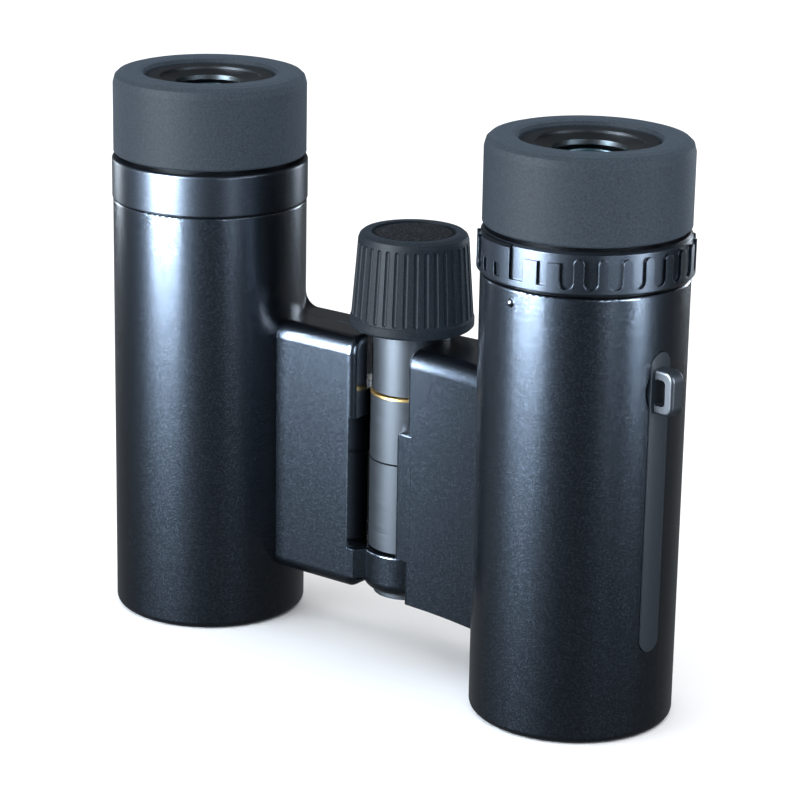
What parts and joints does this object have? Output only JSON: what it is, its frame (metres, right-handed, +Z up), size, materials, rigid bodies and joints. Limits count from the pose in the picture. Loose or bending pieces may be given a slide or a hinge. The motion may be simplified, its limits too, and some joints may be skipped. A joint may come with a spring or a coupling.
{
  "type": "binoculars",
  "caption": "Compact folding roof-prism binoculars: paired tubular barrels on a central hinge, ribbed focus knob, dioptre ring, twist-up eyecups, strap lug.",
  "frame": {"origin": "centre of the outside box on the plane the objective ends stand on, which is 1.7 mm to the lug side of midway between the optical axes", "axes": "+Z up along the optical axes towards the eyepieces, +X towards the barrel with the dioptre ring, +Y away from the side the barrels fold towards, hinge axis at x -1.7 mm, y 6.3 mm"},
  "size_m": [0.1072, 0.032, 0.0889],
  "materials": {
    "barrel_paint": "satin metallic paint, dark blue-black with fine bright flakes",
    "ring_metal": "smooth semi-gloss dark metallic lacquer",
    "eyecup_rubber": "matte blue-grey rubber, faintly moulded",
    "knob_rubber": "matte dark grey ribbed rubber",
    "knob_cap": "satin dark disc with fine bright flakes",
    "hinge_metal": "satin gunmetal, finely turned",
    "brass": "satin brass",
    "strap_plastic": "satin dark grey plastic",
    "black_plastic": "matte black plastic",
    "lens_ring": "satin dark anodised",
    "black_aluminium": "matte black anodised",
    "bare_aluminium": "satin machined",
    "steel": "fine turned steel",
    "eye_glass": "polished, blue-green anti-reflection coating",
    "clear_glass": "polished optical glass"
  },
  "bodies": {
    "left_body": {"left_barrel_shell": "barrel_paint", "left_arm_back_cover": "barrel_paint", "left_objective_bezel": "black_aluminium", "left_prism_cage": "black_plastic", "left_roof_prism": "clear_glass", "left_half_prism": "clear_glass", "left_prism_clip": "steel", "left_ocular_collar": "ring_metal", "left_eyepiece_tube": "black_aluminium", "left_eyepiece_pins": "steel", "left_field_lens": "clear_glass", "left_lens_spacer": "black_aluminium", "left_eye_lens": "eye_glass", "left_eye_lens_ring": "lens_ring", "middle_hinge_knuckle": "hinge_metal", "hinge_tube": "hinge_metal", "hinge_brass_washer": "brass", "hinge_top_nut": "hinge_metal", "hinge_bottom_cap": "hinge_metal", "focus_bush": "brass"},
    "left_objective": {"left_objective_cell": "black_aluminium", "left_crown_lens": "clear_glass", "left_flint_lens": "clear_glass", "left_objective_retainer": "black_aluminium", "left_focus_arm": "bare_aluminium"},
    "left_eyecup_slide": {"left_eyecup_glide_ring": "black_plastic"},
    "left_eyecup": {"left_eyecup_rubber": "eyecup_rubber", "left_eyecup_core": "black_plastic"},
    "right_body": {"right_barrel_shell": "barrel_paint", "right_arm_back_cover": "barrel_paint", "strap_rail": "strap_plastic", "right_objective_bezel": "black_aluminium", "right_prism_cage": "black_plastic", "right_roof_prism": "clear_glass", "right_half_prism": "clear_glass", "right_prism_clip": "steel", "right_ocular_sleeve": "black_aluminium", "upper_hinge_knuckle": "hinge_metal", "lower_hinge_knuckle": "hinge_metal"},
    "diopter_ring": {"diopter_ring": "ring_metal"},
    "right_eyepiece": {"right_eyepiece_tube": "black_aluminium", "right_eyepiece_pins": "steel", "right_field_lens": "clear_glass", "right_lens_spacer": "black_aluminium", "right_eye_lens": "eye_glass", "right_eye_lens_ring": "lens_ring"},
    "right_eyecup_slide": {"right_eyecup_glide_ring": "black_plastic"},
    "right_eyecup": {"right_eyecup_rubber": "eyecup_rubber", "right_eyecup_core": "black_plastic"},
    "right_objective": {"right_objective_cell": "black_aluminium", "right_crown_lens": "clear_glass", "right_flint_lens": "clear_glass", "right_objective_retainer": "black_aluminium", "right_focus_arm": "bare_aluminium"},
    "focus_knob": {"focus_knob_grip": "knob_rubber", "focus_knob_core": "black_plastic", "focus_knob_cap": "knob_cap", "focus_spindle": "steel"},
    "focus_carriage": {"focus_carriage": "brass"}
  },
  "joints": [
    {"name": "barrel_fold", "type": "hinge", "parent": "left_body", "child": "right_body", "pos_m": [-0.00166, 0.0063, 0.03], "axis": [0, 0, 1], "range_deg": [-58, 0]},
    {"name": "focus_knob_turn", "type": "hinge", "parent": "left_body", "child": "focus_knob", "pos_m": [-0.00166, 0.0063, 0.06], "axis": [0, 0, 1], "range_deg": [-90, 180]},
    {"name": "focus_carriage_travel", "type": "slide", "parent": "left_body", "child": "focus_carriage", "axis": [0, 0, 1], "range_m": [-0.0008, 0.0016]},
    {"name": "left_objective_focus", "type": "slide", "parent": "left_body", "child": "left_objective", "axis": [0, 0, 1], "range_m": [-0.0008, 0.0016]},
    {"name": "right_objective_focus", "type": "slide", "parent": "right_body", "child": "right_objective", "axis": [0, 0, 1], "range_m": [-0.0008, 0.0016]},
    {"name": "left_eyecup_lift", "type": "slide", "parent": "left_body", "child": "left_eyecup_slide", "axis": [0, 0, 1], "range_m": [0, 0.0055]},
    {"name": "left_eyecup_twist", "type": "hinge", "parent": "left_eyecup_slide", "child": "left_eyecup", "pos_m": [-0.03791, 0, 0.082], "axis": [0, 0, 1], "range_deg": [0, 80]},
    {"name": "diopter_turn", "type": "hinge", "parent": "right_body", "child": "diopter_ring", "pos_m": [0.03459, 0, 0.072], "axis": [0, 0, 1], "range_deg": [-50, 50]},
    {"name": "right_eyepiece_travel", "type": "slide", "parent": "right_body", "child": "right_eyepiece", "axis": [0, 0, 1], "range_m": [-0.0003, 0.0003]},
    {"name": "right_eyecup_lift", "type": "slide", "parent": "right_eyepiece", "child": "right_eyecup_slide", "axis": [0, 0, 1], "range_m": [0, 0.0055]},
    {"name": "right_eyecup_twist", "type": "hinge", "parent": "right_eyecup_slide", "child": "right_eyecup", "pos_m": [0.03459, 0, 0.082], "axis": [0, 0, 1], "range_deg": [0, 80]}
  ],
  "couplings": [
    {"joint": "focus_knob_turn", "follows": "focus_carriage_travel", "rad_per_m": 1963.4},
    {"joint": "left_objective_focus", "follows": "focus_carriage_travel", "ratio": 1},
    {"joint": "right_objective_focus", "follows": "focus_carriage_travel", "ratio": 1},
    {"joint": "diopter_turn", "follows": "right_eyepiece_travel", "rad_per_m": -2908},
    {"joint": "left_eyecup_twist", "follows": "left_eyecup_lift", "rad_per_m": 253.8},
    {"joint": "right_eyecup_twist", "follows": "right_eyecup_lift", "rad_per_m": 253.8}
  ]
}
